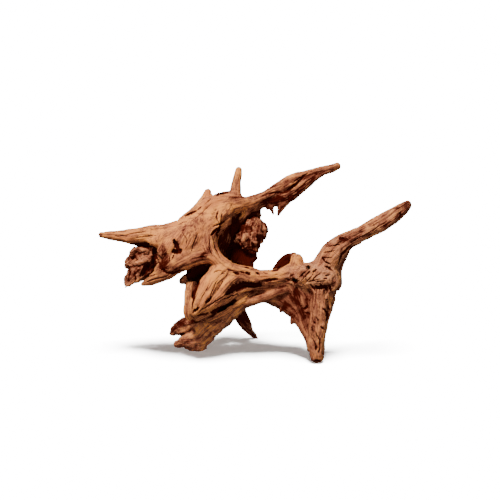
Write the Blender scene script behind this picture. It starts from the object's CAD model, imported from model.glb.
"""A weathered driftwood root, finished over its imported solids.

The wood is drawn as the same bundles of root limbs as its solids, with splinters added, and grown together at
a fine grain. Every point of the surface knows whose fibres run through it, so that furrows, cracks and worm
holes follow the grain. The wood is then sawn at its forks with hairline cuts, one piece for each solid.
"""

import math

import bmesh
import bpy
import numpy as np
from mathutils import Matrix, Vector, noise
from mathutils.bvhtree import BVHTree


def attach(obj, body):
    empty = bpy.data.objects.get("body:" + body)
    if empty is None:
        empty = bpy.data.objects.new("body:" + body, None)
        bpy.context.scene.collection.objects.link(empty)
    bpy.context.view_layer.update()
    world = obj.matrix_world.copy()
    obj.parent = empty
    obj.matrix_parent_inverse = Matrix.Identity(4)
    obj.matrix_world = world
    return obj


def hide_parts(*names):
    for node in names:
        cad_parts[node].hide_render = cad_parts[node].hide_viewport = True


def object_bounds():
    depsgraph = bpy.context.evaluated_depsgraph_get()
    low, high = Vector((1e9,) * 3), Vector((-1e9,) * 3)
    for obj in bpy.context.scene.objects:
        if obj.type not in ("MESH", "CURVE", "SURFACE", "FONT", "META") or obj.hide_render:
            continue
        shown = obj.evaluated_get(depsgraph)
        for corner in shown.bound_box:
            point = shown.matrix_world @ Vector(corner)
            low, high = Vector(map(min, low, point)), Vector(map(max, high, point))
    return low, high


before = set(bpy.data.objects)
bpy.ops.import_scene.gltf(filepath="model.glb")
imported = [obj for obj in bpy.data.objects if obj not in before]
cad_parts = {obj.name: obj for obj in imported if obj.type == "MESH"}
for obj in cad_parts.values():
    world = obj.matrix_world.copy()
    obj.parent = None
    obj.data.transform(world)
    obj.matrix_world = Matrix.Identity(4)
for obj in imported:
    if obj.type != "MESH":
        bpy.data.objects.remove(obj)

cad_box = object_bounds()

MM = 0.001

# The drawing: how it looks at the wood, and how it is placed in the frame.
VIEW_TILT = math.radians(15.0)  # how far the drawing looks down on the wood
VIEW_DISTANCE = 900.0  # mm from the eye to the middle of the drawing
VIEW_HEIGHT = 75.0  # mm up the drawing, where the eye looks
VIEW_WIDTH = 375.0  # mm across the whole view
MIDDLE = Vector((3.645, 9.813, 0.0)) * MM  # of the drawn wood, over the frame's origin
SIZE = 1.01376  # from the drawing's scale to the frame's

# The growing of the wood.
VOXEL = 0.53 * MM
HAIRLINE = 0.006 * MM  # width of the saw cuts
SAW_LEAN = (-0.012, 0.024)  # how far across and up a cut leans for each mm away, out of the line of sight
RING_SIDES = 48
RING_STEP = 1.5  # mm between two rings of a limb
LOBES = 1.6  # how many lobes go round a limb, loosely
FURROW_LENGTH = 26.0  # mm over which a large furrow wanders along a limb
BLEND_ROUNDS = 9  # of smoothing, which round the valleys between limbs
FIBRE_BLEND = 1.4  # mm over which one limb's grain gives way to the next
PIT_LUMPS = 5.0  # mm across the lumps in the pits' walls
PIT_ROUGHNESS = 0.9  # mm
WIDE_MARK = 1.2  # mm of width and depth from which a mark is pressed in before the last remesh
SIGHT_REACH = 80.0  # mm before and behind the drawing's middle within which its front is looked for
SHARP_ANGLE = math.radians(75)  # from which an edge is shaded sharp

FRONT = (0, 0, -1)  # towards the eye, in the drawing's own directions: across, up, away

# Each limb: the way its flat faces look, how deep its furrows are, and the points of its middle line as
# across, up, away, half width and half thickness, in mm. Across and up are as seen from the front.
LIMBS = {
    # The upper mass, from the left arm over the shoulder to the upper arm.
    "left_arm": (FRONT, 0.16, [(-114.2, 86.8, -8, 2.3, 2.3), (-104, 86.3, -8, 3.9, 3.6),
        (-95, 86, -8, 5.3, 4.8), (-86, 86.8, -8, 6.4, 5.6), (-75, 87.6, -8, 6.9, 6.6),
        (-64, 87.6, -8, 7.6, 8.5), (-50, 89.8, -8, 10.6, 10), (-38.6, 96.8, -6, 12.8, 11),
        (-27, 105, -2, 12, 10), (-17, 109, 2, 9, 9), (-8, 110.5, 4, 6.5, 7)]),
    "peak": (FRONT, 0.08, [(-31, 103, 2, 8, 7), (-31, 110.5, 3, 5.5, 6), (-31.2, 116.6, 4, 3.4, 4)]),
    "peak_flank": (FRONT, 0.06, [(-46.5, 99, -2, 5.4, 7), (-39.4, 106, 0, 5, 6), (-34.6, 112.8, 2, 4.4, 5),
        (-31.9, 120.6, 3.4, 2.7, 3)]),
    "crest": (FRONT, 0.1, [(-29, 111, 7, 5, 6), (-20, 114.8, 9, 5, 6), (-8, 114.6, 10, 4.6, 6)]),
    "upper_strip": (FRONT, 0.14, [(-18, 108.5, 2, 7, 7), (-6, 111, 4, 5.2, 6), (0, 111.8, 5, 4.8, 5),
        (11, 116, 6, 4.4, 4.4), (21, 121.6, 7, 5.2, 4.2), (30, 127, 7, 5.4, 4.4), (39, 130.6, 7, 4.8, 4.2),
        (50, 134, 6, 4, 3.8), (60, 136.6, 5, 3.5, 3.4), (66.8, 139.2, 5, 3, 2.8)]),
    "lower_strip": ((0.2, -0.4, -1), 0.14, [(0, 108, 9, 5, 6), (10, 112, 9, 4.4, 5), (20, 112.8, 8, 5, 4),
        (29.5, 116.6, 7, 5.4, 4), (38, 122.2, 6, 4.8, 4), (46, 128.6, 5.5, 3.6, 3.6),
        (54, 133.6, 5, 2.7, 3), (62, 137.2, 5, 1.9, 2.2)]),
    "cheek": (FRONT, 0.08, [(-36, 94, -9, 13, 11), (-46, 84, -16, 13.5, 11), (-56, 76, -18, 12, 10),
        (-64.5, 69, -15, 9.5, 9)]),
    "cheek_top": (FRONT, 0.08, [(-30, 98, -8, 9, 9), (-44, 91, -13, 8, 8), (-57, 85.5, -15, 7.5, 8),
        (-68, 82.5, -12, 6.5, 7), (-76, 82.5, -9, 3.6, 5)]),
    "lower_lip": (FRONT, 0.08, [(-28, 71, -15, 6, 7), (-40, 69.5, -19, 6, 8), (-53, 65, -20, 6.6, 8),
        (-65, 58, -17, 6.2, 6), (-75, 52.7, -13, 4.2, 4), (-82.5, 49.2, -11, 1.4, 1.8)]),
    "lip_fill": (FRONT, 0.06, [(-40, 76, -17, 7, 8), (-52, 70.5, -20, 8.4, 8), (-62, 64, -19, 7.4, 7),
        (-70, 58.6, -15, 4.4, 5)]),
    "front_ridge": (FRONT, 0.1, [(-18, 107, 0, 8, 8), (-26, 97, -6, 9.5, 9), (-33, 88, -11, 10, 11),
        (-32, 77, -15, 8, 10), (-25, 67.5, -17, 6, 9), (-15, 60.5, -17, 6, 9), (-3, 58, -16, 5.5, 9),
        (9, 56.2, -14, 4.5, 9), (21, 57, -13, 4.5, 9), (31, 59.5, -13, 6, 9), (40, 57, -14, 8, 10)]),
    "core": (FRONT, 0.08, [(-26, 100, 8, 12, 9), (-28, 86, 9, 14, 11), (-32, 72, 7, 13, 12),
        (-37, 60, 4, 12, 12), (-38, 48, 0, 11, 11), (-36, 34, -2, 10, 10), (-28, 25, -4, 9, 9)]),
    "core_nub": (FRONT, 0.1, [(-44, 54, 0, 6, 6), (-51, 52.4, -1, 3.4, 4), (-53, 51, -1, 1.8, 2)]),
    # The broken stub under the left arm.
    "stub": ((-0.3, 0, -1), 0.22, [(-52, 73, 0, 13, 13), (-66, 70.5, 0, 12, 12.5), (-78, 68.5, -1, 10, 11),
        (-87, 66, -2, 8.6, 9), (-92, 63.5, -2, 4.6, 6)]),
    "stub_ledge": (FRONT, 0.1, [(-99, 83.4, -4, 1.8, 2.8), (-92, 82.8, -2, 2.8, 4.4),
        (-82, 81.4, 0, 4.4, 6), (-70, 78, 2, 7, 7)]),
    "stub_rim": (FRONT, 0.2, [(-77, 74, -9, 3.5, 3), (-85, 75.5, -8, 3, 3), (-90.5, 73.5, -6, 2.5, 3)]),
    "stub_lower": (FRONT, 0.22, [(-78, 64, -2, 9, 10), (-86, 58, -3, 8, 9), (-91, 53, -4, 4.8, 6),
        (-93, 48.4, -4, 1.6, 2.4)]),
    # The hollow's back wall, its inner rib, and the knob that hangs in it.
    "hollow_back": (FRONT, 0.08, [(2, 112, 10, 7, 5), (1, 104, 15, 7, 5), (0, 95, 18, 8, 6),
        (-4, 84, 19, 9.5, 6), (-8, 74, 17, 9.5, 7), (-12, 64, 12, 9.5, 8)]),
    "hollow_side": (FRONT, 0.08, [(-16, 106, 11, 10, 6), (-19, 92, 17, 12, 6), (-19, 78, 19, 12, 6),
        (-17, 64, 14, 12, 8)]),
    "hollow_floor": (FRONT, 0.1, [(-5, 77, 14, 6.4, 6), (-2.6, 70.5, 12, 5.6, 6), (-2, 64, 7, 4.8, 6),
        (-1, 59, 1, 4, 6)]),
    "inner_rib": (FRONT, 0.1, [(4, 112, 7, 4, 5), (-3, 104, 9, 3.6, 6), (-10, 94, 12, 3.4, 6),
        (-15, 82, 15, 4, 6)]),
    "knob": (FRONT, 0.3, [(3, 99, 13, 4, 5), (2, 92.5, 8, 8, 7), (0.5, 86, 4, 9.5, 8.5),
        (1, 79.5, 5, 6.8, 8), (2, 73.5, 8, 3.4, 5), (2.3, 70, 9, 1.5, 2.4)]),
    "knob_lobe": (FRONT, 0.1, [(6, 97, 11, 2.5, 3), (9.6, 92, 8, 2.4, 4), (9.2, 85, 6, 2, 4)]),
    "knob_edge": (FRONT, 0.2, [(-4, 92, 6, 4, 5), (-5.6, 84, 3, 3.4, 5), (-2, 76, 4, 3.4, 4)]),
    "knob_chip": (FRONT, 0.2, [(-11.5, 83, 8, 2.2, 3), (-8, 85.5, 4, 3.2, 4), (-3, 87, 1, 4, 4)]),
    # The striated plate in front of the left leg, as roots side by side.
    "plate_left": ((-0.4, 0, -1), 0.12, [(-44.5, 51, -14, 4.4, 5), (-45.8, 43, -17, 4.2, 5),
        (-46.2, 34, -18, 4.2, 5), (-46.4, 27, -18, 4.2, 4.5), (-45.2, 23.6, -17, 2.8, 3)]),
    "plate_middle": (FRONT, 0.16, [(-20, 61, -18, 8, 8), (-28, 51, -23, 8, 7), (-34.5, 41, -25, 6.6, 6),
        (-40.5, 31, -25, 4.4, 5), (-43, 25.5, -24, 2.6, 3)]),
    "plate_outer": ((-0.2, 0, -1), 0.14, [(-26, 62, -16, 5, 7), (-31, 55, -19, 5, 6),
        (-35.5, 48.5, -21, 4.8, 6), (-38.5, 41, -22.5, 4.4, 5.5), (-41.4, 34, -23, 3.4, 5),
        (-43.4, 28.5, -23, 2.3, 4)]),
    "plate_right": ((-0.2, 0.3, -1), 0.16, [(-8, 57, -17, 6, 6), (-17, 50, -22, 6, 6),
        (-26, 40, -24, 5.5, 5), (-34, 32, -24, 4, 4), (-41, 26.5, -24, 2.4, 3)]),
    "plate_lip": (FRONT, 0.14, [(4, 50, -14, 5, 5), (-9, 45.5, -17, 4.2, 5), (-21, 36.5, -19, 3.4, 5),
        (-33, 27.5, -20, 3.2, 4), (-42, 23, -20, 2.4, 3)]),
    "plate_shelf": (FRONT, 0.16, [(-4, 41, -12, 5, 6), (-13, 34.5, -13, 4.5, 5), (-23, 27.5, -13, 4, 5),
        (-32, 22.5, -13, 3.4, 4)]),
    # The left leg and its two toes.
    "left_leg": (FRONT, 0.12, [(0, 43, -6, 8, 9), (-9, 37, -6, 8.5, 9), (-18, 29.5, -5, 8.8, 9),
        (-26, 21.5, -3, 8.8, 9), (-35, 14, -1, 9, 8.5), (-41, 7, 1, 8.6, 7.5), (-43, 1, 2, 8.6, 6)]),
    "heel": (FRONT, 0.08, [(-33, 17, 0, 6.4, 8), (-37, 8, 2, 5, 7), (-38, 1, 3, 4.4, 5)]),
    "upper_toe": (FRONT, 0.14, [(-36, 21, 0, 7, 8), (-47, 18.5, 1, 6.8, 7), (-54.5, 15.8, 3, 5, 5),
        (-61, 11.8, 5, 1.7, 1.8)]),
    "lower_toe": (FRONT, 0.14, [(-38, 9, 0, 7, 8), (-49, 7, 0, 5.2, 6), (-57.4, 4.4, 1, 1.9, 2.2)]),
    # The bridge and the web that spreads under it into the right leg.
    "bridge_low": (FRONT, 0.12, [(-8, 34.5, -9, 4.4, 7), (2, 37.5, -12, 4.2, 6), (11, 40, -14, 4, 5),
        (19, 43.4, -15, 3.6, 4), (27, 45.8, -15, 3.8, 4), (35, 48, -15, 4.4, 4)]),
    "bridge_web": (FRONT, 0.14, [(-4, 45, -7, 10, 7), (10, 45, -8, 10, 7), (22, 43, -9, 12, 7),
        (32, 35.5, -11, 10.4, 6), (38.4, 25, -14, 7.6, 6), (43, 12, -19, 4.4, 5), (46.5, 0, -23, 4, 5)]),
    "web_fill": (FRONT, 0.08, [(34, 50, -13, 9, 8), (40, 38, -15, 9, 7), (44, 27, -17, 7.5, 6),
        (46, 14, -20, 5, 5), (48, 0, -23, 3.6, 4)]),
    "ridge_under": (FRONT, 0.06, [(-16, 56.5, -18.5, 4.6, 6), (-3, 54.4, -18.5, 4.6, 6),
        (9, 53, -17, 4.2, 6), (21, 54, -16, 4.2, 6), (32, 56, -15, 4.4, 6)]),
    "bridge_fill": (FRONT, 0.06, [(-2, 50.5, -12, 5, 6), (10, 49.5, -13, 5.4, 6), (22, 50.5, -13.5, 5, 6),
        (34, 52.5, -14, 5, 7)]),
    "bridge_back": (FRONT, 0.08, [(-12, 54, 10, 9, 9), (8, 51.5, 4, 8, 8), (26, 51, -2, 8, 8),
        (44, 54, -7, 10, 10)]),
    "ear": (FRONT, 0.12, [(34.5, 57, -14, 7, 8), (34.8, 66, -14, 5.6, 7), (34.4, 71, -13, 4, 4.5)]),
    "ear_sheet": (FRONT, 0.08, [(19, 59, -4, 4, 4), (24, 65.5, -4, 4.2, 4), (27.4, 69.6, -6, 2.8, 4),
        (33, 71, -9, 3, 5)]),
    # The right hip, the right leg and the right arm.
    "hip": (FRONT, 0.1, [(34, 56, -14, 8, 11), (45, 55.5, -17, 11, 13), (56, 54, -17, 11.5, 13),
        (60, 49, -15, 8, 12)]),
    "brow": ((0, 1, -1), 0.16, [(42, 50, -24, 2.5, 4), (49, 51.5, -28, 2.6, 4), (57, 51.5, -28, 2.6, 4),
        (64, 49.5, -22, 2.4, 4)]),
    "right_leg": (FRONT, 0.16, [(53, 50, -19, 10.5, 11), (52.5, 40, -21, 9.2, 10), (51.6, 27, -23, 8, 8),
        (49.8, 12, -24.5, 6.6, 6.6), (49.4, 1, -25.5, 6.2, 5.6), (50.2, -8, -26.5, 4.6, 4.2)]),
    "right_leg_rear": (FRONT, 0.1, [(60, 46, -10, 4.6, 8), (58.4, 37, -12, 4.6, 8), (56.6, 27, -16, 4, 7),
        (54, 16, -20, 3, 5)]),
    "right_arm": ((0, 0.2, -1), 0.16, [(54, 60, -15, 9.6, 10), (59, 69, -15, 9.6, 9),
        (65, 76.6, -14, 8.6, 8), (73, 82.4, -14, 7.3, 7), (82.5, 87.4, -13, 6.6, 6.4),
        (92.5, 92.4, -12, 6.8, 6.4), (102, 98, -11, 6.7, 6.2), (110, 103.4, -10.5, 5.9, 5.6),
        (115.6, 107.6, -10, 4.8, 4.6), (119.6, 110.9, -10, 2.9, 3)]),
    "arm_root": (FRONT, 0.08, [(54.5, 61, -17, 8.2, 9), (58.8, 69, -17.6, 8.2, 8),
        (64, 76, -16.4, 7.2, 7)]),
    "arm_rear": (FRONT, 0.1, [(72, 76, -10, 3.6, 6), (68.4, 69, -10, 3.8, 7), (65, 60, -10, 3.8, 8),
        (65, 51, -11, 4, 7), (64, 46, -11, 3.2, 5)]),
    # Behind: the horn that stands up, the spine and the thin rear leg.
    "back_horn": (FRONT, 0.1, [(-13, 106, 7, 7.6, 7), (-11.6, 117, 9, 5.2, 5), (-10.9, 126, 11, 3.9, 4),
        (-9.5, 133, 12, 3.1, 3), (-8.9, 137.2, 12, 2.3, 2.2)]),
    "spine": (FRONT, 0.1, [(-14, 106, 13, 9, 8), (-18, 92, 19, 11, 8), (-17, 76, 20, 12, 8),
        (-13, 58, 16, 11, 9), (-12, 44, 14, 9, 8), (-11, 34, 14, 7, 7)]),
    "rear_web": (FRONT, 0.08, [(-24, 70, 12, 9, 6), (-23, 56, 9, 9, 7), (-23, 43, 6, 8, 6),
        (-21, 34, 4, 6, 6)]),
    "rear_leg": (FRONT, 0.1, [(-12, 42, 13, 8, 8), (-10, 31, 17, 6.6, 5.5), (-6, 22, 21, 4.9, 4),
        (-1.4, 15.2, 24, 3.6, 2.8), (3, 10.2, 25.6, 2.5, 2.2), (6.4, 6.8, 26.6, 1.4, 1.5)]),
    "rear_leg_splint": (FRONT, 0.1, [(-8, 32, 14, 3.4, 3), (-3.4, 24, 18, 2.6, 2.4),
        (0.6, 18.4, 21, 1.3, 1.4)]),
}

# Hollows and pits: centre as across, up, away; half sizes along the pit, across it and into the wood;
# and the pit's slope as seen from the front, in degrees.
PITS = {
    "hollow_mouth": ((-6, 87, -15), (25.5, 19, 11), 78), "under_cheek": ((-40, 59, -15), (11, 5.6, 12), 32),
    "plate_slot": ((-19, 33.2, -15), (9.5, 2.2, 7), 28), "hip_hole": ((43.6, 62.4, -26), (2, 1.7, 8), 0),
    "hip_pit": ((32.5, 53, -22), (2.6, 1.6, 5), 20), "stub_knot": ((-88.5, 69.5, -11), (2.2, 1.7, 5), 70),
    "stub_cleft": ((-80, 61, -11), (7, 2, 5), 60), "peak_notch": ((-24, 118, 4), (3.8, 2.4, 5), -20),
    "rim_notch": ((-24.5, 90, -12), (2.6, 1, 6), 60), "ear_pocket": ((24.5, 64.6, -12), (5, 3.4, 3.4), 50),
    "arm_groove": ((34, 126.4, 0), (11, 1.1, 4), 33), "brow_groove": ((53, 47.2, -31), (9, 1.6, 5), 4),
    "leg_groove": ((58.5, 31, -29), (8, 1.3, 5), -80),
}

# Saw lines that part the wood at its forks, as points across and up, with how far they reach in depth.
SAWS = {
    "left_arm": ([(-75.5, 100), (-75.5, 81.2), (-101, 78)], (-24, 20)),
    "broken_stub": ([(-76.5, 81.0745), (-76, 61), (-80, 54.6), (-88, 45)], (-24, 20)),
    "back_horn": ([(-21, 121.2), (-1, 119.6)], (-2, 24)),
    "upper_arm": ([(10, 128), (14, 100)], (-8, 18)),
    "waist": ([(-62, 52), (-48, 60.5), (-32, 64.5), (-18, 66.5), (-7, 66.2), (-2, 65), (6, 65)], (-40, 44)),
    "bridge": ([(3.5, 70), (1.5, 24)], (-34, 24)),
    "rear_leg": ([(-22, 27), (4, 33)], (6, 34)),
    "right_leg": ([(78, 47), (47, 42), (20, 15)], (-44, 12)),
    "right_arm": ([(51, 84), (78, 61)], (-34, 8)),
}

# A point inside each piece of wood, as seen from the front, by which it gets its name.
PIECES = {
    "trunk": (-40, 90, -8), "left_arm": (-95, 86.8, -8), "broken_stub": (-84, 67, -1),
    "back_horn": (-10.9, 126, 11), "upper_arm": (30, 126, 7), "left_leg": (-26, 22, -3),
    "rear_leg": (-6, 22, 20), "bridge": (21, 57, -13), "right_leg": (51, 27, -23),
    "right_arm": (92.5, 92.8, -12),
}


# Cracks, holes and stains read off the front, place by place: width and depth in mm, how dark, and the line
# that each follows, as points across and up.
MARKS = {
    "cheek": [(3.6, 4.5, 1, [(-58, 83), (-56.5, 80), (-54.5, 75.5)]),
        (3.2, 3.5, 1, [(-58, 74.5), (-56, 74), (-53.5, 74.5)]),
        (1.2, 1.4, 0.8, [(-58, 71.5), (-59.5, 68.5)]), (0.9, 1, 0.6, [(-61.5, 70.5), (-61.5, 67)]),
        (1.6, 2.2, 0.8, [(-71, 70), (-69.5, 66.5), (-67.5, 61.5), (-63.5, 58), (-57.5, 58), (-50, 60.5)]),
        (3.6, 3, 0.8, [(-73, 77.5), (-72, 73.5), (-73, 68), (-72.5, 63)]),
        (0.9, 1, 0.6, [(-70, 63), (-67.5, 60.5), (-64.5, 60)]),
        (0.9, 1, 0.6, [(-66.5, 69.5), (-67.5, 66.5), (-67.5, 63)]),
        (0.8, 0.8, 0.5, [(-63.5, 68), (-65.5, 64), (-63.5, 61)]),
        (9, 0.8, 0.45, [(-67.5, 76), (-66, 69.5), (-67, 64)]),
        (0.8, 0.9, 0.5, [(-80.5, 54.5), (-75.5, 56), (-71, 57)]),
        (0.8, 0.9, 0.5, [(-78, 51.5), (-71, 53.5), (-63.5, 55)])],
    "left arm": [(3.2, 0, 0.6, [(-115, 86.5), (-113.5, 87)]),
        (0.8, 0.8, 0.5, [(-93, 87), (-86, 88.5), (-79, 90)]),
        (0.8, 0.8, 0.5, [(-86.5, 84.5), (-79, 85.5), (-71.5, 86.5)]),
        (0.7, 0.7, 0.5, [(-103.5, 85.5), (-96.5, 86), (-89, 85.5)]),
        (0.7, 0.7, 0.4, [(-75, 91), (-67, 92), (-59, 93.5)])],
    "stub": [(1.3, 2, 0.9, [(-90.5, 70.5), (-87, 71), (-85.5, 68), (-87.5, 65.5)]),
        (1.8, 2, 0.9, [(-89.5, 69), (-88.5, 68.5)]), (1.2, 1.6, 0.8, [(-85, 72.5), (-81, 74), (-77, 73.5)]),
        (1.2, 1.6, 0.8, [(-86.5, 63), (-82, 64), (-78, 67)]),
        (1.4, 2, 0.9, [(-92.5, 64), (-91, 58.5), (-92, 53.5)]),
        (1.2, 1.8, 0.9, [(-88, 59), (-86.5, 53.5), (-88, 50.5)]),
        (2.4, 2.4, 0.9, [(-79, 64), (-75.5, 61.5), (-79, 58.5)])],
    "shoulder": [(2.2, 3, 0.9, [(-28, 118), (-25, 117), (-22, 117.5)]),
        (1.2, 1.6, 0.7, [(-22, 117.5), (-17, 118.5)]),
        (1.6, 2, 0.9, [(-49.5, 101), (-45, 103), (-41, 105)]), (1.4, 1.8, 0.8, [(-40, 106), (-37, 108)]),
        (0.9, 1, 0.6, [(-34.5, 110), (-30, 114.5)]),
        (0.7, 0.7, 0.5, [(-45.5, 96.5), (-39.5, 101.5), (-33, 107), (-28.5, 111.5)]),
        (0.7, 0.7, 0.5, [(-55, 94.5), (-47.5, 97.5)]),
        (1.3, 1.8, 0.8, [(-24.5, 105.5), (-26, 100), (-24.5, 96.5)]),
        (1, 1.4, 0.7, [(-21.5, 103), (-22.5, 96.5)]),
        (1.8, 2.6, 0.9, [(-28.5, 93), (-24.5, 94.5), (-20, 96.5)]),
        (2.2, 3.2, 1, [(-30, 86.5), (-26.5, 90.5), (-22.5, 93)]), (1.4, 2.4, 0.9, [(-26, 89.5), (-25, 85)]),
        (0.8, 1.1, 0.7, [(-40, 87.5), (-42.5, 81.5), (-44.5, 75)]),
        (0.7, 0.8, 0.5, [(-51.5, 88.5), (-48, 83), (-49, 77)]),
        (0.8, 1, 0.6, [(-30.5, 84), (-31.5, 77.5), (-29, 70.5)]),
        (0.8, 1, 0.6, [(-27.5, 83.5), (-26.5, 77), (-22.5, 68.5)]),
        (0.6, 0.7, 0.5, [(-36, 79), (-33.5, 71)]), (1, 1.2, 0.7, [(-38.5, 70.5), (-33.5, 69.5)]),
        (9, 0, 0.3, [(-40, 97.5), (-34, 92), (-35.5, 84)]), (7, 0, 0.25, [(-15.5, 112.5), (-7.5, 115.5)]),
        (5, 0, 0.35, [(-36, 70.5), (-32, 74.5)])],
    "hollow": [(16, 0, 0.4, [(-14, 92), (-10, 80), (-6, 72)]),
        (14, 0, 0.7, [(-10, 75), (-5, 69), (0, 67)])],
    "ridge": [(1.7, 2.4, 1, [(-13, 58.5), (-11, 57.5), (-9, 57)]), (1.3, 1.8, 0.9, [(-8, 59), (-5, 58)]),
        (1.8, 2.4, 1, [(-3.5, 58), (-1, 57)]), (1.5, 2, 0.9, [(4.5, 58), (6, 57)]),
        (1.3, 1.8, 0.9, [(-22, 57.5), (-20.5, 58)]), (1.2, 1.6, 0.8, [(-17.5, 60.5), (-13, 59.5)]),
        (1.3, 1.6, 0.9, [(-4.5, 62.5), (-1.5, 62)]), (0.8, 1, 0.6, [(-28.5, 58.5), (-24.5, 60), (-19, 59)]),
        (1.2, 1.6, 0.8, [(5, 58), (6.5, 56.5)]), (0.9, 1.2, 0.7, [(9.5, 58.5), (13, 57.5)]),
        (0.9, 1.2, 0.7, [(20, 62), (22.5, 63)])],
    "plate": [(1.8, 3, 1, [(-36, 56.5), (-40, 49), (-43, 41), (-44.5, 31.5)]),
        (0.8, 0.9, 0.6, [(-29.5, 55), (-33, 46.5), (-38.5, 36)]),
        (0.9, 1, 0.6, [(-25, 53), (-28.5, 45), (-31, 39.5)]), (0.8, 0.9, 0.6, [(-21, 52), (-25, 45)]),
        (2.3, 3, 1, [(-33.5, 36), (-30.5, 39)]), (1.8, 2.6, 0.9, [(-44, 28), (-39, 32)]),
        (1.4, 2, 0.8, [(-40.5, 25.5), (-32.5, 27.5)]),
        (1, 1.4, 0.7, [(-38, 29.5), (-24.5, 37.5), (-14.5, 44)]),
        (0.9, 1.2, 0.7, [(-26.5, 35), (-14.5, 40.5), (-8, 43)]),
        (3.2, 5, 1, [(-29.5, 28), (-24, 30.5), (-17.5, 33), (-15, 34.5)]),
        (5.4, 3.6, 0.8, [(-17.5, 42.5), (-13, 46.5), (-5, 49.5), (7, 49)]),
        (3, 1.6, 0.6, [(0, 49), (5, 50), (13, 52.5), (20, 53.5)])],
    "hip": [(1.5, 1.6, 0.9, [(29.5, 55.5), (32.5, 57)]),
        (2.6, 3, 1, [(32, 53.5), (34.5, 52.5), (33.5, 51)]), (1.1, 1.2, 0.7, [(26, 53.5), (30, 52.5)]),
        (7, 0, 1, [(19.5, 60.5), (23, 65), (26, 69.5)]), (1, 1, 0.6, [(36.5, 55), (40.5, 58.5), (45, 62)]),
        (1.6, 2, 0.9, [(47, 59), (49.5, 60.5)]), (1.3, 1.8, 0.9, [(55, 53.5), (57, 54)]),
        (1.8, 2.4, 0.9, [(55.5, 63), (58.5, 62), (61.5, 59.5)]),
        (0.9, 1, 0.7, [(38.5, 52.5), (42, 56.5), (44.5, 59)]),
        (0.9, 1, 0.7, [(41, 50), (44.5, 54), (47, 57.5)]),
        (0.9, 1, 0.7, [(45, 51), (49.5, 56), (52.5, 58)]), (0.9, 1, 0.7, [(56, 56), (60, 56.5)]),
        (1.1, 1.4, 0.8, [(53.5, 70), (56, 66.5)]), (1.1, 1.4, 0.8, [(55.5, 66.5), (60.5, 64.5)]),
        (1.4, 2, 0.9, [(45, 50), (48.5, 45)]), (1.2, 2, 0.9, [(48.5, 49), (52, 45.5)]),
        (1.2, 2, 0.9, [(52, 50), (55.5, 46.5)]), (1.5, 2, 0.9, [(55.5, 49), (57.5, 44.5)]),
        (1.5, 2.2, 0.9, [(59, 49), (60.5, 44.5)]), (1, 1.4, 0.8, [(48.5, 51.5), (56.5, 52)]),
        (1, 1.2, 0.7, [(42.5, 51), (52, 53.5)])],
    "right leg": [(5.6, 1.2, 0.25, [(34.5, 46.5), (34.5, 38.5), (36, 30)]),
        (4.6, 1.4, 0.3, [(36.5, 41), (36.5, 34.5), (38.5, 26.5), (41, 18), (42.5, 13)]),
        (2.2, 2.8, 1, [(54.5, 31), (57, 28.5), (58, 25), (57, 22)]),
        (1.5, 1.8, 0.9, [(40.5, 31), (42.5, 32.5)]), (1.2, 1.4, 0.8, [(41, 28.5), (44.5, 27)]),
        (1.5, 2, 0.9, [(52.5, 17.5), (55.5, 15.5)]), (1, 1.2, 0.8, [(49.5, 24.5), (51, 21.5)]),
        (1, 1.2, 0.8, [(47, 21.5), (48.5, 19.5)]), (1, 1.2, 0.7, [(45.5, 17), (47, 13)]),
        (1.5, 2.2, 1, [(49.5, 3.5), (49, 0)]), (0.8, 1, 0.6, [(45.5, 9.5), (49, 4)]),
        (1.1, 1.4, 0.8, [(51, -2.5), (52.5, 1.5)]), (1.4, 1.6, 0.9, [(48, -8), (52.5, -8.5)]),
        (0.8, 1, 0.6, [(48.5, 14), (51.5, 8), (52.5, 4.5)]),
        (12, 0, 0.2, [(23, 42.5), (27, 35.5), (33.5, 26.5)])],
    "upper arm": [(1.7, 2.4, 1, [(24, 118.5), (29.5, 121), (35, 126), (40.5, 131.5)]),
        (1, 1.4, 0.8, [(31, 125.5), (36.5, 129.5), (43, 133.5)]),
        (1.2, 1.6, 0.8, [(12, 117.5), (18, 118.5), (24, 118.5)]),
        (6, 0, 0.35, [(11, 112.5), (17, 114), (24, 114.5)]),
        (0.8, 0.9, 0.6, [(26, 114), (34, 119.5), (42, 127), (50, 132.5)]),
        (0.8, 0.9, 0.5, [(30, 113.5), (38, 119.5), (45, 126.5)])],
    "right arm": [(12, 0, 0.3, [(101, 97), (109, 102.5), (118, 109)]),
        (1.8, 1.6, 1, [(112.5, 103), (113, 101.5)]), (2.2, 2, 0.9, [(67.5, 84), (69.5, 83.5)]),
        (0.8, 1, 0.6, [(75.5, 80.5), (91, 90), (102.5, 97)]), (0.7, 0.9, 0.6, [(81.5, 79.5), (94, 87)]),
        (0.7, 0.9, 0.6, [(84, 84.5), (97.5, 94)]), (0.7, 0.9, 0.5, [(93, 89.5), (106.5, 97)]),
        (1.5, 2, 0.9, [(75, 78.5), (68.5, 72), (66, 64.5)]), (0.8, 0.9, 0.6, [(54.5, 73.5), (64, 75)]),
        (0.8, 0.9, 0.6, [(56.5, 78), (67, 79.5)]), (0.8, 0.9, 0.6, [(53.5, 70), (61, 69.5)])],
}

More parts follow.
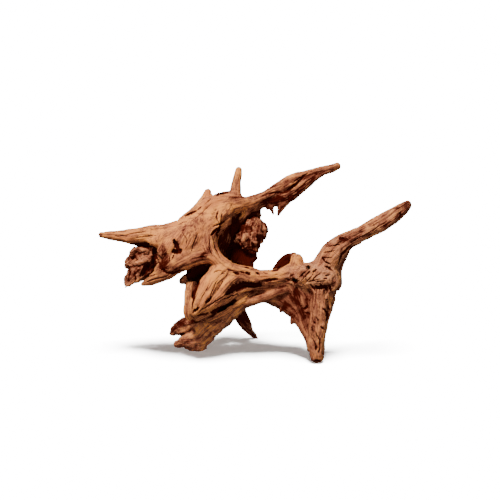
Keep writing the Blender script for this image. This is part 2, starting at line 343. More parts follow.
# Splinters and torn edges, too fine for the solids, drawn as the limbs are.
SPLINTERS = {
    "torn_tip": (FRONT, 0.1, [(12.6, 112, 8, 3.2, 2.8), (14.8, 108.6, 8, 2.6, 2.4),
        (16, 105.6, 7.8, 1.9, 1.9), (17, 102, 7.6, 1.1, 1.2)]),
    "torn_tip_inner": (FRONT, 0.1, [(28, 114, 8, 3.4, 2.8), (23.6, 109, 8, 2.9, 2.4),
        (21.6, 105.2, 7.8, 2.1, 1.9), (20.4, 101, 7.6, 1.1, 1.2)]),
    "torn_edge": (FRONT, 0.1, [(10, 112, 8, 3.6, 3), (12.4, 108.4, 8, 2.8, 2.6),
        (12.2, 106, 7.6, 1.4, 1.4)]),
    "hollow_splinter": (FRONT, 0.1, [(-17.4, 95.4, -3, 2.6, 3), (-15.4, 99.4, -4, 1.4, 2),
        (-14.6, 102.4, -4, 0.5, 0.7)]),
    "knob_tip": (FRONT, 0.1, [(2.5, 75, 7, 3.4, 4), (2.9, 70, 6, 2.2, 2.6), (2.2, 66, 5, 0.9, 1.2)]),
    "nub_front": (FRONT, 0.14, [(-37, 56, -5, 6, 6), (-45.5, 53.6, -9, 4.8, 4.6),
        (-51.4, 51.8, -9, 2, 2.2)]),
    "ear_back": (FRONT, 0.05, [(22, 56, -4, 6, 5), (27, 62, -5, 5.6, 4.6), (31, 67, -7, 3.6, 4)]),
    "stub_splinter": (FRONT, 0.1, [(-84, 54, -8, 2.4, 3), (-90.4, 50.4, -8, 1.6, 2),
        (-95.2, 46.6, -7, 0.5, 0.7)]),
    "web_step_high": (FRONT, 0.1, [(26, 36, -11, 3, 4), (23.6, 31, -11, 2.2, 3),
        (22, 28.8, -11, 1.2, 1.4)]),
    "web_step": (FRONT, 0.1, [(34.5, 30, -13, 3, 4), (31.4, 22.5, -14, 2.6, 3),
        (30.4, 19.4, -14, 1.3, 1.6)]),
    "web_step_low": (FRONT, 0.1, [(42, 22, -17, 3, 4), (39.6, 16, -17.5, 2.1, 3),
        (38.8, 13.8, -18, 1.1, 1.4)]),
    "rear_splinter": (FRONT, 0.1, [(-6, 28, 18, 2.6, 2), (-2.4, 22, 20.4, 2.4, 2),
        (0.4, 17.6, 22.4, 1.1, 1.2), (1.6, 15.6, 23, 0.5, 0.5)]),
}

# How each limb is finished: how craggy and how worm-eaten it is, how bleached, how grey, how dark, and how
# deeply furrowed.
FINISH_NAMES = ("crag", "worm", "bleach", "grey", "dusk", "furrow")
PLAIN_FINISH = (0.0, 0.15, 0.5, 0.0, 0.0, 0.8)
FINISHES = {
    "left_arm": (0, 0.1, 1, 0, 0, 0.7), "peak": (0.3, 0, 0.7, 0, 0, 0.6),
    "peak_flank": (0.1, 0, 0.8, 0, 0, 0.7), "crest": (0.4, 0, 0.4, 0, 0.3, 0.6),
    "upper_strip": (0, 0.1, 0.56, 0, 0, 0.8), "lower_strip": (0.1, 0, 0.3, 0, 0.1, 0.8),
    "torn_tip": (0.1, 0, 0.2, 0, 0.4, 0.6), "torn_tip_inner": (0.1, 0, 0.2, 0, 0.4, 0.6),
    "torn_edge": (0.1, 0, 0.2, 0, 0.3, 0.6), "cheek": (0, 0.2, 0.78, 0, 0, 0.5),
    "cheek_top": (0, 0.1, 0.9, 0, 0, 0.4), "lower_lip": (0, 0.1, 0.6, 0, 0, 0.7),
    "front_ridge": (0, 0.5, 0.75, 0, 0, 0.6), "lip_fill": (0, 0.1, 0.7, 0, 0, 0.5),
    "core": (0.2, 0.1, 0.25, 0, 0.15, 0.8), "core_nub": (0.8, 0.1, 0.4, 0, 0, 0.8),
    "nub_front": (1.4, 0.1, 0.3, 0, 0.1, 0.8), "spine": (0.2, 0.1, 0.4, 0, 0.1, 1),
    "rear_web": (0.2, 0.1, 0.4, 0, 0.1, 1), "ridge_under": (0, 0.2, 0.6, 0, 0, 0.6),
    "stub": (1.2, 0, 0.22, 0.2, 0.2, 0.8), "stub_ledge": (0.15, 0, 0.2, 0, 0.4, 0.8),
    "stub_rim": (0.8, 0, 0.4, 0.2, 0.05, 0.8), "stub_lower": (1, 0, 0.3, 0.2, 0.15, 1),
    "hollow_back": (0.2, 0, 0.12, 0, 0.5, 1), "hollow_floor": (0.4, 0, 0, 0, 2, 1),
    "hollow_side": (0.2, 0, 0.12, 0, 0.5, 1), "inner_rib": (0.2, 0, 0.3, 0, 0.2, 1),
    "knob": (1.8, 0, 0.22, 0.1, 0.25, 0.6), "knob_edge": (1.6, 0, 0.18, 0.1, 0.3, 0.6),
    "knob_tip": (0.8, 0, 0.25, 0, 0.2, 0.6), "knob_lobe": (1, 0, 0.2, 0.1, 0.3, 0.6),
    "knob_chip": (0.8, 0, 0.7, 0.3, 0, 0.6), "plate_left": (0, 0.1, 0.85, 0, 0, 0.6),
    "plate_middle": (0, 0.2, 1, 0, 0, 0.8), "plate_outer": (0, 0.1, 0.95, 0, 0, 0.8),
    "plate_right": (0, 0.2, 0.85, 0, 0, 1), "plate_lip": (0.1, 0.1, 0.65, 0, 0, 1.1),
    "plate_shelf": (0.3, 0.1, 0.65, 0, 0, 0.8), "left_leg": (0.8, 0.3, 0.66, 0.1, 0, 0.9),
    "heel": (0.3, 0.2, 0.3, 0, 0.3, 0.7), "upper_toe": (0.9, 0.2, 0.32, 0, 0.05, 0.6),
    "lower_toe": (0.8, 0.2, 0.34, 0, 0.05, 0.6), "bridge_low": (0.1, 0.2, 0.6, 0, 0, 0.5),
    "bridge_fill": (0.1, 0.1, 0.45, 0, 0, 0.5), "bridge_web": (0.1, 0.1, 0.34, 0, 0, 0.3),
    "web_fill": (0.1, 0.1, 0.32, 0, 0, 0.3), "web_step_high": (0.2, 0.1, 0.34, 0, 0, 0.5),
    "web_step": (0.2, 0.1, 0.34, 0, 0, 0.5), "web_step_low": (0.2, 0.1, 0.34, 0, 0, 0.5),
    "bridge_back": (0.1, 0.2, 0.3, 0, 0.2, 0.8), "ear": (0.2, 0.1, 1, 0, 0, 0.4),
    "ear_sheet": (0.1, 0, 0.05, 0, 1, 0.6), "ear_back": (0.2, 0, 0, 0, 1.2, 0.6),
    "hip": (1, 0.2, 0.5, 0.8, 0, 1.3), "brow": (0.5, 0.2, 0.62, 0.8, 0, 1),
    "right_leg": (0.4, 0.1, 0.48, 0.1, 0, 1), "right_leg_rear": (0.1, 0.1, 0.3, 0.1, 0.1, 0.8),
    "right_arm": (0.05, 0.1, 0.62, 0.45, 0, 0.9), "arm_root": (0.3, 0.1, 0.85, 0.5, 0, 0.5),
    "arm_rear": (0, 0.1, 0.28, 0.4, 0.2, 0.6), "back_horn": (0, 0.1, 0.7, 0, 0, 0.6),
    "rear_leg": (0, 0.1, 0.2, 0, 0.3, 1.2), "rear_leg_splint": (0, 0.1, 0.2, 0, 0.3, 1),
    "rear_splinter": (0, 0, 0.2, 0, 0.3, 0.6), "stub_splinter": (0.2, 0, 0.7, 0.1, 0, 0.5),
}

# Limbs whose fibres don't run along them, but at this slope in the drawing, in degrees.
CROSS_GRAIN = {"cheek": 60.0, "cheek_top": 22.0, "hip": 52.0, "brow": 98.0, "ear": 80.0}

# How deep the weather has cut, in mm, and how far apart its furrows lie.
GRAIN = {
    "Furrow Spacing": 1.8, "Furrow Depth": 0.30, "Trough Spacing": 5.4, "Trough Depth": 0.55,
    "Fibre Depth": 0.13, "Crack Depth": 0.9, "Worm Depth": 1.1, "Crag Size": 5.0, "Crag Depth": 2.0,
    "Lump Depth": 0.8,
}
RELIEF_OUTPUTS = ("Height", "Crease", "Worm")
FIBRES = ("fibre_a", "fibre_b")  # where each point lies among the fibres of its two nearest limbs
WOOD_COLOURS = {
    "Sapwood": (0.72, 0.295, 0.078), "Rosewood": (0.56, 0.205, 0.072), "Heartwood": (0.28, 0.104, 0.055),
    "Stain": (0.120, 0.031, 0.018), "Soot": (0.040, 0.004, 0.002), "Silver": (0.42, 0.225, 0.15),
}
SHELTER_RAYS = 26  # directions in which each point looks for wood over it
SHELTER_REACH = 34.0  # mm
SHELTER_LIFT = 0.4  # mm off the surface, where the rays start


def seen_places(across, up, away):
    """The places in the drawn wood, in metres, of points drawn as seen from the front."""
    spread = 1 + away / VIEW_DISTANCE
    height = VIEW_HEIGHT + (up - VIEW_HEIGHT) * spread
    y = height * math.sin(VIEW_TILT) + away * math.cos(VIEW_TILT)
    z = height * math.cos(VIEW_TILT) - away * math.sin(VIEW_TILT)
    return np.stack([across * spread, y, z], axis=-1) * MM


def seen(across, up, away):
    """The place of one drawn point."""
    return Vector(seen_places(across, up, away))


def drawn(places):
    """The other way round: how far across, up and away places in the drawn wood are seen, in mm."""
    x, y, z = places.T / MM
    away = y * math.cos(VIEW_TILT) - z * math.sin(VIEW_TILT)
    height = y * math.sin(VIEW_TILT) + z * math.cos(VIEW_TILT)
    spread = 1 + away / VIEW_DISTANCE
    return x / spread, VIEW_HEIGHT + (height - VIEW_HEIGHT) / spread, away


def seen_direction(direction):
    """A direction given as across, up and away, turned into the drawn wood."""
    across, up, away = direction
    return (Matrix.Rotation(-VIEW_TILT, 3, "X") @ Vector((across, away, up))).normalized()


def in_frame(place):
    """A place in the drawn wood, moved to the frame."""
    return (place - MIDDLE) * SIZE


def smooth_line(points):
    """Rows every RING_STEP along a Catmull-Rom curve through rows that each start with a place."""
    rows = np.array(points, float)
    rows = np.vstack([2 * rows[0] - rows[1], rows, 2 * rows[-1] - rows[-2]])
    line = []
    for before, start, end, after in zip(rows, rows[1:], rows[2:], rows[3:]):
        steps = max(1, round(float(np.linalg.norm(end[:3] - start[:3])) / RING_STEP))
        for t in np.arange(steps) / steps:
            line.append(0.5 * (
                2 * start + (end - before) * t + (2 * before - 5 * start + 4 * end - after) * t**2
                + (3 * start - before - 3 * end + after) * t**3
            ))
    line.append(rows[-2])
    return np.array(line)


def weathering(angle, travel, seed, furrow):
    """How far out the bark line lies at one angle of a limb: soft lobes with furrows worn between them."""
    place = Vector((math.cos(angle) * LOBES, math.sin(angle) * LOBES, travel / FURROW_LENGTH + seed))
    lobe = noise.noise(place)
    crease = max(0.0, 1 - abs(noise.noise(place * 1.7 + Vector((5.2, 1.3, 0)))) / 0.22)
    return 1 + furrow * (0.8 * lobe - 1.1 * crease)


def limb_seed(name):
    return sum(ord(letter) * (place + 1) for place, letter in enumerate(name)) * 0.37


def limb_rings(face, points):
    """The middle line of a limb with the directions and half sizes of its rings, as arrays in metres."""
    line = smooth_line(points)
    middle = np.array([seen(*row[:3]) for row in line])
    along = np.gradient(middle, axis=0)
    along /= np.linalg.norm(along, axis=1)[:, None]
    wide = np.cross(along, np.array(seen_direction(face)))
    wide /= np.linalg.norm(wide, axis=1)[:, None]
    deep = np.cross(wide, along)
    half = np.maximum(line[:, 3:5], 0.4) * MM
    travel = np.concatenate([[0], np.cumsum(np.linalg.norm(np.diff(middle, axis=0), axis=1))])
    return middle, along, wide, deep, half, travel


def add_limb(mesh, name, face, furrow, points):
    """Adds one limb to mesh: rings round its middle line, furrowed along it, with rounded ends."""
    middle, along, wide, deep, half, travel = limb_rings(face, points)
    seed = limb_seed(name)
    angles = 2 * np.pi * np.arange(RING_SIDES) / RING_SIDES
    rings = []
    for i, centre in enumerate(middle):
        swell = np.array([weathering(angle, travel[i] / MM, seed, furrow) for angle in angles])
        across = np.outer(np.cos(angles) * swell * half[i, 0], wide[i])
        through = np.outer(np.sin(angles) * swell * half[i, 1], deep[i])
        rings.append([mesh.verts.new(place) for place in centre + across + through])
    for ring, following in zip(rings, rings[1:]):
        for k in range(RING_SIDES):
            after = (k + 1) % RING_SIDES
            mesh.faces.new((ring[k], ring[after], following[after], following[k]))
    for ring, inner, first in ((rings[0], rings[1], True), (rings[-1], rings[-2], False)):
        centre = sum((v.co for v in ring), Vector()) / RING_SIDES
        outward = (centre - sum((v.co for v in inner), Vector()) / RING_SIDES).normalized()
        radius = sum((v.co - centre).length for v in ring) / RING_SIDES
        tip = mesh.verts.new(centre + outward * radius * 0.6)
        for k in range(RING_SIDES):
            after = (k + 1) % RING_SIDES
            mesh.faces.new((ring[after], ring[k], tip) if first else (ring[k], ring[after], tip))


def object_from(mesh, name):
    """A new scene object that takes over a bmesh."""
    data = bpy.data.meshes.new(name)
    mesh.to_mesh(data)
    mesh.free()
    made = bpy.data.objects.new(name, data)
    bpy.context.scene.collection.objects.link(made)
    return made


def keep_plain(made):
    """Makes what an object's modifiers give its own plain mesh."""
    shape = bpy.data.meshes.new_from_object(made.evaluated_get(bpy.context.evaluated_depsgraph_get()))
    made.modifiers.clear()
    made.data = shape


def settle(made, *tools):
    """Applies a row of modifiers, each given as its type and its settings, to one object."""
    for kind, settings in tools:
        modifier = made.modifiers.new(kind.lower(), kind)
        for key, value in settings.items():
            setattr(modifier, key, value)
    keep_plain(made)


def settle_tree(made, tree, **values):
    """Runs a geometry tree on an object with its named inputs set, and keeps the result as a plain mesh."""
    modifier = made.modifiers.new(tree.name, "NODES")
    modifier.node_group = tree
    for item in tree.interface.items_tree:
        if item.item_type == "SOCKET" and item.in_out == "INPUT" and item.name in values:
            modifier[item.identifier] = values[item.name]
    keep_plain(made)


def carve(wood, cutters):
    """Takes the cutters out of the wood, and the cutters out of the scene."""
    for cutter in cutters:
        settle(wood, ("BOOLEAN", {"operation": "DIFFERENCE", "solver": "MANIFOLD", "object": cutter}))
        bpy.data.objects.remove(cutter)


def pit_cutter():
    """The hollows and pits as one object of lumpy ellipsoids."""
    mesh = bmesh.new()
    for centre, (along, over, into), slope in PITS.values():
        turn = Matrix.Rotation(-VIEW_TILT, 4, "X") @ Matrix.Rotation(math.radians(-slope), 4, "Y")
        shape = Matrix.Diagonal((along, into, over, 1 / MM))
        place = Matrix.Translation(seen(*centre)) @ turn @ (shape * MM)
        bmesh.ops.create_icosphere(mesh, subdivisions=5, radius=1, matrix=place)
    for vertex in mesh.verts:
        vertex.co += noise.noise_vector(vertex.co / (PIT_LUMPS * MM)) * PIT_ROUGHNESS * MM
    cutter = object_from(mesh, "pits")
    settle(cutter, ("REMESH", {"mode": "VOXEL", "voxel_size": VOXEL}))
    return cutter


def saw_cutter(name, points, depth):
    """A hairline sheet along a line drawn across the wood and straight back through it."""
    mesh = bmesh.new()
    line = [Vector(point) for point in points]
    half = HAIRLINE / MM / 2
    lean = Vector(SAW_LEAN)
    outline = []
    for side in (1, -1):
        edge = []
        for i, point in enumerate(line):
            steps = [(line[j + 1] - line[j]).normalized() for j in (i - 1, i) if 0 <= j < len(line) - 1]
            normals = [Vector((-step.y, step.x)) for step in steps]
            normal = sum(normals, Vector((0, 0))).normalized()
            edge.append(point + normal * side * half / normal.dot(normals[0]))
        outline += edge if side > 0 else edge[::-1]
    near, far = (
        [mesh.verts.new(seen(*(point + lean * away), away)) for point in outline] for away in depth
    )
    count = len(line)
    for i in range(count - 1):
        mesh.faces.new((near[i], near[i + 1], near[-i - 2], near[-i - 1]))
        mesh.faces.new((far[-i - 1], far[-i - 2], far[i + 1], far[i]))
    for i in range(len(outline)):
        after = (i + 1) % len(outline)
        mesh.faces.new((near[after], near[i], far[i], far[after]))
    bmesh.ops.recalc_face_normals(mesh, faces=mesh.faces)
    return object_from(mesh, name + "_saw")


def ground_cutter():
    """A block under the ground of the drawing, that wears the feet flat."""
    mesh = bmesh.new()
    bmesh.ops.create_cube(mesh, size=1, matrix=Matrix.Translation((0, 0, -0.5)))
    return object_from(mesh, "ground")


def limbs_object(limbs, name, start=None):
    """One object of loose limbs, with the faces of another mesh if one is given."""
    mesh = bmesh.new()
    for title, (face, furrow, points) in limbs.items():
        add_limb(mesh, title, face, furrow, points)
    bmesh.ops.recalc_face_normals(mesh, faces=mesh.faces)
    if start:
        mesh.from_mesh(start)
    return object_from(mesh, name)


def points_of(mesh):
    """The places of a mesh's points as an array."""
    points = np.empty(len(mesh.vertices) * 3, np.float32)
    mesh.vertices.foreach_get("co", points)
    return points.reshape(-1, 3).astype(float)


def front_finder(wood):
    """A function that tells how far away the wood's front is, in mm, at a place in the drawing."""
    tree = BVHTree.FromObject(wood, bpy.context.evaluated_depsgraph_get())

    def front(across, up):
        start, end = seen(across, up, -SIGHT_REACH), seen(across, up, SIGHT_REACH)
        hit, _, _, distance = tree.ray_cast(start, end - start)
        share = math.nan if hit is None else distance / (end - start).length
        return 2 * SIGHT_REACH * share - SIGHT_REACH

    return front


def press_marks(points, front, chosen):
    """How deep each point is pressed in by the chosen marks, in mm, and how dark every mark makes it."""
    across, up, away = drawn(points)
    pressed, dark = np.zeros(len(points)), np.zeros(len(points))
    for width, depth, darkness, line in (mark for marks in MARKS.values() for mark in marks):
        line = np.array(line, float)
        fronts = np.array([front(*place) for place in line])
        if np.isnan(fronts).all():
            continue
        fronts[np.isnan(fronts)] = np.nanmean(fronts)
        low, high = line.min(0) - width, line.max(0) + width
        near = (across > low[0]) & (across < high[0]) & (up > low[1]) & (up < high[1])
        spots = np.flatnonzero(near & (away > fronts.min() - 4) & (away < fronts.max() + depth + 4))
        step = np.diff(line, axis=0)
        length = np.linalg.norm(step, axis=1)
        travel = np.concatenate([[0], np.cumsum(length)])
        offset = np.column_stack([across[spots], up[spots]])[:, None] - line[None, :-1]
        part = np.clip((offset * step).sum(2) / length**2, 0, 1)
        gap = np.linalg.norm(offset - part[..., None] * step, axis=2)
        close = gap.argmin(1)
        rows = np.arange(len(spots))
        part, gap = part[rows, close], gap[rows, close]
        t = (travel[close] + part * length[close]) / travel[-1]
        taper = 0.45 + 0.55 * np.sin(math.pi * t) if travel[-1] > 2 * width else 1.0
        ragged = np.sin(2.1 * across[spots] + 1.3 * up[spots]) * np.sin(2.6 * up[spots] - 0.9 * across[spots])
        reach = gap / (width / 2 * taper) * (1 + 0.3 * ragged)
        behind = away[spots] - (fronts[close] * (1 - part) + fronts[close + 1] * part)
        layer = np.clip(2.2 - np.abs(behind - depth / 2) / (depth / 2 + 1.5), 0, 1)
        if chosen(width, depth):
            hollow = depth * np.clip(1 - reach**2, 0, 1) ** 0.8 * layer
            pressed[spots] = np.maximum(pressed[spots], hollow)
        shade = darkness * np.clip(1.3 - reach**2, 0, 1) * layer
        dark[spots] = np.maximum(dark[spots], shade)
    return pressed, dark


def is_wide(width, depth):
    """Whether a mark is wide enough to be pressed into the wood before its last remesh."""
    return min(width, depth) >= WIDE_MARK


def grown_wood():
    """All limbs and splinters in one object, grown together, with the pits and marks in it."""
    grow = ("REMESH", {"mode": "VOXEL", "voxel_size": VOXEL})
    wood = limbs_object(LIMBS, "driftwood")
    settle(wood, grow, ("SMOOTH", {"factor": 0.5, "iterations": BLEND_ROUNDS}))
    whole = limbs_object(SPLINTERS, "driftwood", wood.data)
    bpy.data.objects.remove(wood)
    settle(whole, grow)
    carve(whole, [pit_cutter()])
    front = front_finder(whole)
    points = points_of(whole.data)
    pressed, _ = press_marks(points, front, is_wide)
    across, up, away = drawn(points)
    points = seen_places(across, up, away + pressed)
    whole.data.vertices.foreach_set("co", points.astype(np.float32).ravel())
    settle(whole, grow, ("SMOOTH", {"factor": 0.5, "iterations": 2}))
    points = points_of(whole.data)
    scar, dark = press_marks(points, front, lambda width, depth: not is_wide(width, depth))
    store(whole.data, "scar", scar)
    store(whole.data, "dark", dark)
    return whole


def limb_reach(rings, points):
    """How far outside a limb's bark the points lie, and their places among its fibres, both in mm."""
    middle, along, wide, deep, half, travel = rings
    step = np.diff(middle, axis=0)
    offset = points[:, None] - middle[None, :-1]
    part = np.clip((offset * step).sum(2) / (step**2).sum(1), 0, 1)
    gap = ((offset - part[..., None] * step) ** 2).sum(2)
    near = gap.argmin(1)
    t = part[np.arange(len(points)), near][:, None]

    def blend(rows):
        return rows[near] * (1 - t) + rows[near + 1] * t

    away = points - blend(middle)
    size = blend(half)
    mean = size.mean(1)
    x = (away * blend(wide)).sum(1) / size[:, 0]
    y = (away * blend(deep)).sum(1) / size[:, 1]
    end = (away * blend(along)).sum(1) / mean
    depth = (np.sqrt(x**2 + y**2 + end**2) - 1) * mean / MM
    round_it = np.hypot(x, y) + 1e-6
    girth = half.mean() / MM
    fibre = np.column_stack([x / round_it * girth, y / round_it * girth, blend(travel[:, None])[:, 0] / MM])
    return depth, fibre


def mark_fibres(wood):
    """Gives each point the fibres of its two nearest limbs, their shares, and the limbs' mixed finish."""
    points = points_of(wood.data)
    count = len(points)
    flat = np.column_stack(drawn(points))
    nearest = np.full((count, 2), 1e3)
    owner = np.zeros((count, 2), int)
    fibres = np.zeros((count, 2, 3))
    weights = np.zeros(count)
    finish = np.zeros((count, len(FINISH_NAMES)))
    reach = 12 * MM
    for number, (name, (face, furrow, line)) in enumerate({**LIMBS, **SPLINTERS}.items()):
        rings = limb_rings(face, line)
        margin = rings[4].max() + reach
        inside = ((points > rings[0].min(0) - margin) & (points < rings[0].max(0) + margin)).all(1)
        spots = np.flatnonzero(inside)
        depth, fibre = limb_reach(rings, points[spots])
        if name in CROSS_GRAIN:
            slope = math.radians(CROSS_GRAIN[name])
            across, up, away = flat[spots].T
            fibre = np.column_stack([
                up * math.cos(slope) - across * math.sin(slope), away,
                across * math.cos(slope) + up * math.sin(slope),
            ])
        fibre[:, 2] += 40.0 * (limb_seed(name) % 97)
        weight = np.exp(-np.clip(depth, -20, 30) / FIBRE_BLEND)
        weights[spots] += weight
        finish[spots] += weight[:, None] * np.array(FINISHES.get(name, PLAIN_FINISH))
        first = depth < nearest[spots, 0]
        second = ~first & (depth < nearest[spots, 1])
        moved = spots[first]
        nearest[moved, 1], owner[moved, 1], fibres[moved, 1] = (
            nearest[moved, 0], owner[moved, 0], fibres[moved, 0]
        )
        nearest[moved, 0], owner[moved, 0], fibres[moved, 0] = depth[first], number, fibre[first]
        moved = spots[second]
        nearest[moved, 1], owner[moved, 1], fibres[moved, 1] = depth[second], number, fibre[second]
    share = 1 / (1 + np.exp(np.minimum((nearest[:, 1] - nearest[:, 0]) / FIBRE_BLEND, 60)))
    swap = owner[:, 0] > owner[:, 1]
    fibres[swap] = fibres[swap, ::-1]
    share[swap] = 1 - share[swap]
    finish /= np.maximum(weights, 1e-12)[:, None]
    for side, name in enumerate(FIBRES):
        store(wood.data, name, fibres[:, side])
    store(wood.data, "share", share)
    for name, values in zip(FINISH_NAMES, finish.T):
        store(wood.data, name, values)


def store(mesh, name, values):
    """Keeps one number or one vector for each point of a mesh as an attribute."""
    flat = values.ndim == 1
    attribute = mesh.attributes.new(name, "FLOAT" if flat else "FLOAT_VECTOR", "POINT")
    values = np.ascontiguousarray(values, np.float32).ravel()
    attribute.data.foreach_set("value" if flat else "vector", values)


class Term:
    """An output of a node, so that sums over outputs can be written as sums."""

    def __init__(self, nodes, socket):
        self.nodes = nodes
        self.socket = socket
        self.is_vector = socket.type in ("VECTOR", "RGBA")

    def __add__(self, other):
        return self.nodes.sum("ADD", self, other)

    def __radd__(self, other):
        return self.nodes.sum("ADD", other, self)

    def __sub__(self, other):
        return self.nodes.sum("SUBTRACT", self, other)

    def __rsub__(self, other):
        return self.nodes.sum("SUBTRACT", other, self)

    def __mul__(self, other):
        return self.nodes.sum("MULTIPLY", self, other)

    def __truediv__(self, other):
        return self.nodes.sum("DIVIDE", self, other)

    def __rtruediv__(self, other):
        return self.nodes.sum("DIVIDE", other, self)

    def __pow__(self, other):
        return self.nodes.sum("POWER", self, other)


class Nodes:
    """A node tree, with short ways to add nodes to it and to join them."""

    def __init__(self, tree):
        self.tree = tree

    def feed(self, socket, value):
        if isinstance(value, Term):
            self.tree.links.new(value.socket, socket)
        else:
            socket.default_value = value

    def add(self, kind, inputs=None, **settings):
        node = self.tree.nodes.new(kind)
        for key, value in settings.items():
            setattr(node, key, value)
        for socket, value in (inputs or {}).items():
            self.feed(node.inputs[socket], value)
        return node

    def get(self, kind, inputs=None, output=0, **settings):
        """One output of a new node."""
        return Term(self, self.add(kind, inputs, **settings).outputs[output])

    def outputs(self, kind, inputs=None, **settings):
        """All outputs of a new node, by name."""
        return {socket.name: Term(self, socket) for socket in self.add(kind, inputs, **settings).outputs}

    def sum(self, operation, *values, clamp=False):
        """A sum over numbers, or over vectors where one of the values is a vector."""
        if any(isinstance(value, Term) and value.is_vector for value in values):
            return self.get("ShaderNodeVectorMath", dict(enumerate(values)), operation=operation)
        return self.get("ShaderNodeMath", dict(enumerate(values)), operation=operation, use_clamp=clamp)

    def scale(self, vector, amount):
        return self.get("ShaderNodeVectorMath", {0: vector, "Scale": amount}, operation="SCALE")

    def noise(self, place, detail=0.0, scale=1.0, output="Fac"):
        return self.get("ShaderNodeTexNoise", {"Vector": place, "Scale": scale, "Detail": detail}, output)

    def streaks(self, fibre, width, stretch, detail=0.0, seed=0.0):
        """Noise drawn out along the fibres."""
        squeeze = 1.0 / width
        place = fibre * self.get("ShaderNodeCombineXYZ", {0: squeeze, 1: squeeze, 2: squeeze / stretch})
        return self.noise(place + (seed, 0.0, 0.0), detail)

    def crease(self, value, width):
        """1 along the lines where a noise crosses its middle, and 0 further than width from them."""
        return self.sum("SUBTRACT", 1.0, self.sum("ABSOLUTE", value - 0.5) / width, clamp=True)

    def ramp(self, value, low, high, to_low=0.0, to_high=1.0):
        return self.get("ShaderNodeMapRange", {
            "Value": value, "From Min": low, "From Max": high, "To Min": to_low, "To Max": to_high,
        }, interpolation_type="SMOOTHSTEP")

    def mix(self, share, a, b):
        return self.get("ShaderNodeMix", {"Factor": share, "A": a, "B": b})

    def mix_colour(self, share, a, b):
        return self.get("ShaderNodeMix", {0: share, 6: a, 7: b}, 2, data_type="RGBA")

    def attribute(self, name, kind="FLOAT"):
        return self.get("GeometryNodeInputNamedAttribute", {"Name": name}, "Attribute", data_type=kind)

    def keep(self, geometry, name, value):
        """Stores a number for each point."""
        return self.get("GeometryNodeStoreNamedAttribute", {
            "Geometry": geometry, "Name": name, "Value": value}, data_type="FLOAT", domain="POINT")


def new_tree(name, kind, inputs, outputs):
    """A node group, with its inputs as terms and its output node's sockets."""
    tree = bpy.data.node_groups.new(name, kind)
    for side, sockets in (("INPUT", inputs), ("OUTPUT", outputs)):
        for title, (socket, *value) in sockets.items():
            made = tree.interface.new_socket(title, in_out=side, socket_type="NodeSocket" + socket)
            if value:
                made.default_value = value[0]
    nodes = Nodes(tree)
    return nodes, nodes.outputs("NodeGroupInput"), nodes.add("NodeGroupOutput").inputs


def wood_tree(name, **inputs):
    """A geometry tree that works on the wood."""
    inputs = {"Geometry": ("Geometry",), "Wood": ("Material",), **inputs}
    return new_tree(name, "GeometryNodeTree", inputs, {"Geometry": ("Geometry",)})


def hand_out(nodes, given, out, geometry):
    """Ends a geometry tree with plain wood in its material."""
    real = nodes.get("GeometryNodeRealizeInstances", {"Geometry": geometry})
    nodes.feed(out[0], nodes.get("GeometryNodeSetMaterial", {"Geometry": real, "Material": given["Wood"]}))
    return nodes.tree


GRAIN_INPUTS = {title: ("Float", value) for title, value in GRAIN.items()}


def fibre_relief_group():
    """How high the surface stands, in mm, and how creased it is, at one place among a limb's fibres."""
    nodes, given, out = new_tree(
        "fibre relief", "GeometryNodeTree", {"Fibre": ("Vector",), **GRAIN_INPUTS},
        {title: ("Float",) for title in RELIEF_OUTPUTS},
    )
    drift = nodes.noise(given["Fibre"], 1.0, 0.07, "Color") - (0.5, 0.5, 0.5)
    fibre = given["Fibre"] + drift * (4.5, 4.5, 4.0)
    trough = nodes.crease(nodes.streaks(fibre, given["Trough Spacing"], 14.0, seed=3.7), 0.10)
    furrow = nodes.crease(nodes.streaks(fibre, given["Furrow Spacing"], 24.0, seed=11.3), 0.12)
    fibres = nodes.streaks(fibre, 1.0, 26.0, 1.0, seed=23.9) - 0.5
    gate = nodes.ramp(nodes.noise(fibre + (0.0, 31.0, 0.0), 0.0, 0.07), 0.5, 0.58)
    crack = nodes.crease(nodes.streaks(fibre, 3.6, 16.0, seed=41.0), 0.045) * gate
    cell = nodes.outputs("ShaderNodeTexVoronoi", {"Vector": fibre * (0.17, 0.17, 0.10), "Scale": 1.0})
    chosen = nodes.sum("GREATER_THAN", nodes.get("ShaderNodeSeparateXYZ", {0: cell["Color"]}), 0.55)
    nodes.feed(out["Worm"], nodes.ramp(cell["Distance"], 0.19, 0.11) * chosen)
    nodes.feed(out["Height"], (
        trough**1.5 * (given["Trough Depth"] * -1.0) - furrow * given["Furrow Depth"]
        - crack * given["Crack Depth"] + fibres * (given["Fibre Depth"] * 4.0)
    ))
    nodes.feed(out["Crease"], nodes.sum("MAXIMUM", nodes.sum("MAXIMUM", furrow * 0.75, trough**2.0), crack))
    return nodes.tree


